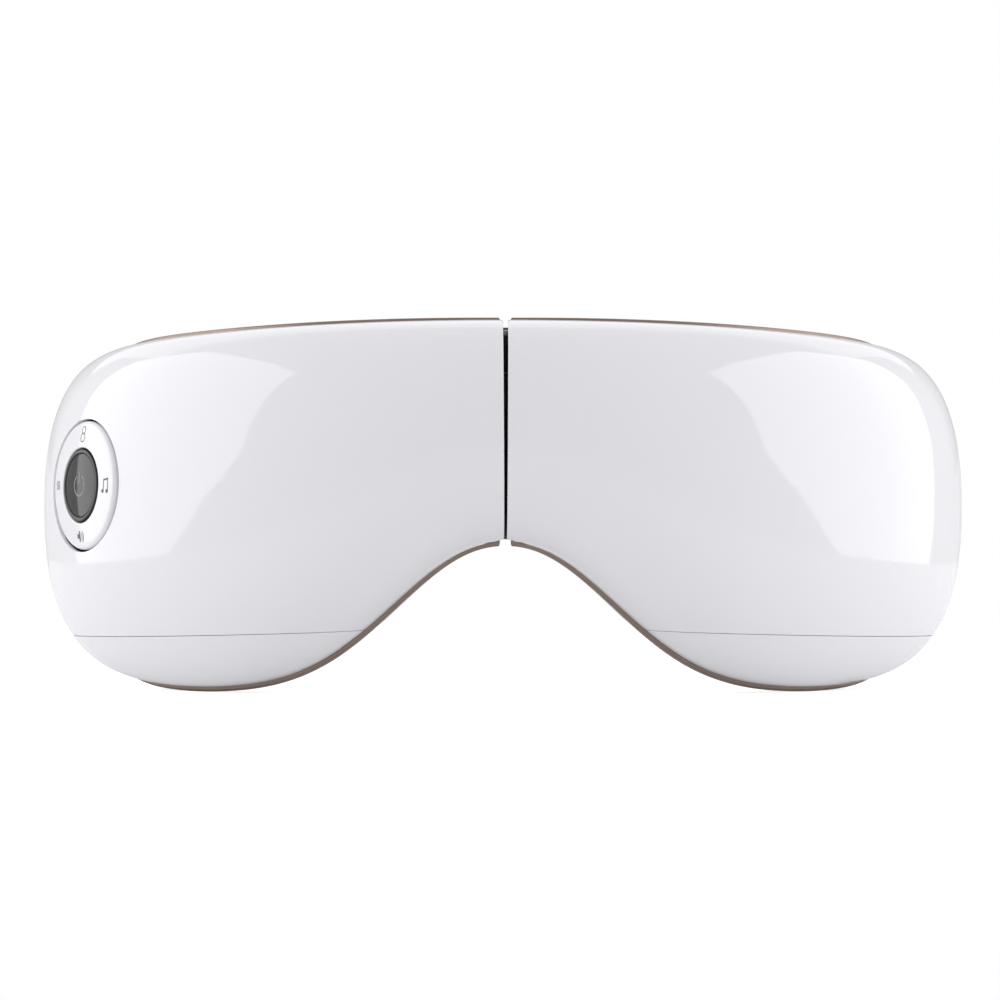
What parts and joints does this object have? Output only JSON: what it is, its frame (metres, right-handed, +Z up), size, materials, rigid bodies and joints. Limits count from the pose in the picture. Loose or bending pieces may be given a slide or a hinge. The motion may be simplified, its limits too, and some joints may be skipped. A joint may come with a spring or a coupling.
{
  "type": "eye massager mask",
  "caption": "Foldable eye massager mask: two glossy curved half shells hinged over the nose, side control dial, padded face side, temple strap loops.",
  "frame": {"origin": "bottom centre of the mask's box, level with its lowest trim", "axes": "+Z up, the mask's front faces -Y, +X towards the wearer's left; the wearer's face lies on the +Y side"},
  "size_m": [0.2034, 0.1018, 0.0802],
  "materials": {
    "gloss_white": "high gloss, painted",
    "champagne_trim": "satin anodised",
    "dark_shell": "fine matte grain",
    "taupe_leather": "soft grained",
    "eye_fabric": "fine knit",
    "silicone": "translucent matte",
    "copper_film": "printed film",
    "steel": "satin",
    "blackened_steel": "black oxide",
    "brass": "machined",
    "black_gloss": "high gloss",
    "circuit_board": "solder mask",
    "battery_wrap": "shrink wrap",
    "washer_black": "moulded"
  },
  "bodies": {
    "right_half": {"right_front_shell": "gloss_white", "right_lower_panel": "gloss_white", "right_trim_band": "champagne_trim", "right_rear_shell": "dark_shell", "right_hinge_bracket": "blackened_steel", "right_face_cushion": "taupe_leather", "right_airbag": "silicone", "right_heating_film": "copper_film", "right_eye_pad": "eye_fabric", "right_strap_loop": "dark_shell", "right_screw_upper": "steel", "right_screw_lower": "steel", "right_vibration_motor": "steel", "right_speaker": "dark_shell", "right_air_hose": "silicone", "hinge_pin": "steel", "hinge_clip": "steel", "hinge_washer_lower": "washer_black", "hinge_washer_upper": "washer_black", "dial_seat": "dark_shell", "key_membrane": "silicone", "key_board": "circuit_board", "main_board": "circuit_board"},
    "left_half": {"left_front_shell": "gloss_white", "left_lower_panel": "gloss_white", "left_trim_band": "champagne_trim", "left_rear_shell": "dark_shell", "left_hinge_bracket": "blackened_steel", "left_face_cushion": "taupe_leather", "left_airbag": "silicone", "left_heating_film": "copper_film", "left_eye_pad": "eye_fabric", "left_strap_loop": "dark_shell", "left_screw_upper": "steel", "left_screw_lower": "steel", "left_vibration_motor": "steel", "left_speaker": "dark_shell", "left_air_hose": "silicone", "battery_pack": "battery_wrap", "power_board": "circuit_board", "pump_motor": "steel", "pump_head": "dark_shell", "air_valve": "steel", "charging_port": "steel"},
    "rocker_plate": {"rocker_plate": "dark_shell"},
    "control_ring": {"control_ring": "gloss_white"},
    "power_button": {"power_button": "black_gloss"},
    "right_weight": {"right_vibration_weight": "brass"},
    "left_weight": {"left_vibration_weight": "brass"},
    "pump_crank": {"pump_crank": "steel"},
    "valve_plunger": {"valve_plunger": "steel"}
  },
  "joints": [
    {"name": "fold", "type": "hinge", "parent": "right_half", "child": "left_half", "pos_m": [0, -0.03487, 0.04], "axis": [0, 0, 1], "range_deg": [0, 74]},
    {"name": "rocker_side_tilt", "type": "hinge", "parent": "right_half", "child": "rocker_plate", "pos_m": [-0.08853, -0.00469, 0.04445], "axis": [0.0297, 0.0184, 0.9994], "range_deg": [-2, 2], "stiffness_Nm_per_rad": 0.4},
    {"name": "ring_up_down_tilt", "type": "hinge", "parent": "rocker_plate", "child": "control_ring", "pos_m": [-0.08853, -0.00469, 0.04445], "axis": [0.5258, -0.8506, 0], "range_deg": [-2, 2], "stiffness_Nm_per_rad": 0.4},
    {"name": "power_press", "type": "slide", "parent": "right_half", "child": "power_button", "axis": [0.8501, 0.5255, -0.0349], "range_m": [0, 0.0006], "stiffness_N_per_m": 2500},
    {"name": "right_weight_spin", "type": "hinge", "parent": "right_half", "child": "right_weight", "pos_m": [-0.02798, -0.03704, 0.06], "axis": [0, 0, 1], "continuous": true},
    {"name": "left_weight_spin", "type": "hinge", "parent": "left_half", "child": "left_weight", "pos_m": [0.02798, -0.03704, 0.06], "axis": [0, 0, 1], "continuous": true},
    {"name": "pump_crank_spin", "type": "hinge", "parent": "left_half", "child": "pump_crank", "pos_m": [0.08036, -0.00221, 0.04], "axis": [0, 0, 1], "continuous": true},
    {"name": "valve_plunger_slide", "type": "slide", "parent": "left_half", "child": "valve_plunger", "axis": [0, 0, -1], "range_m": [0, 0.0015], "stiffness_N_per_m": 300}
  ]
}
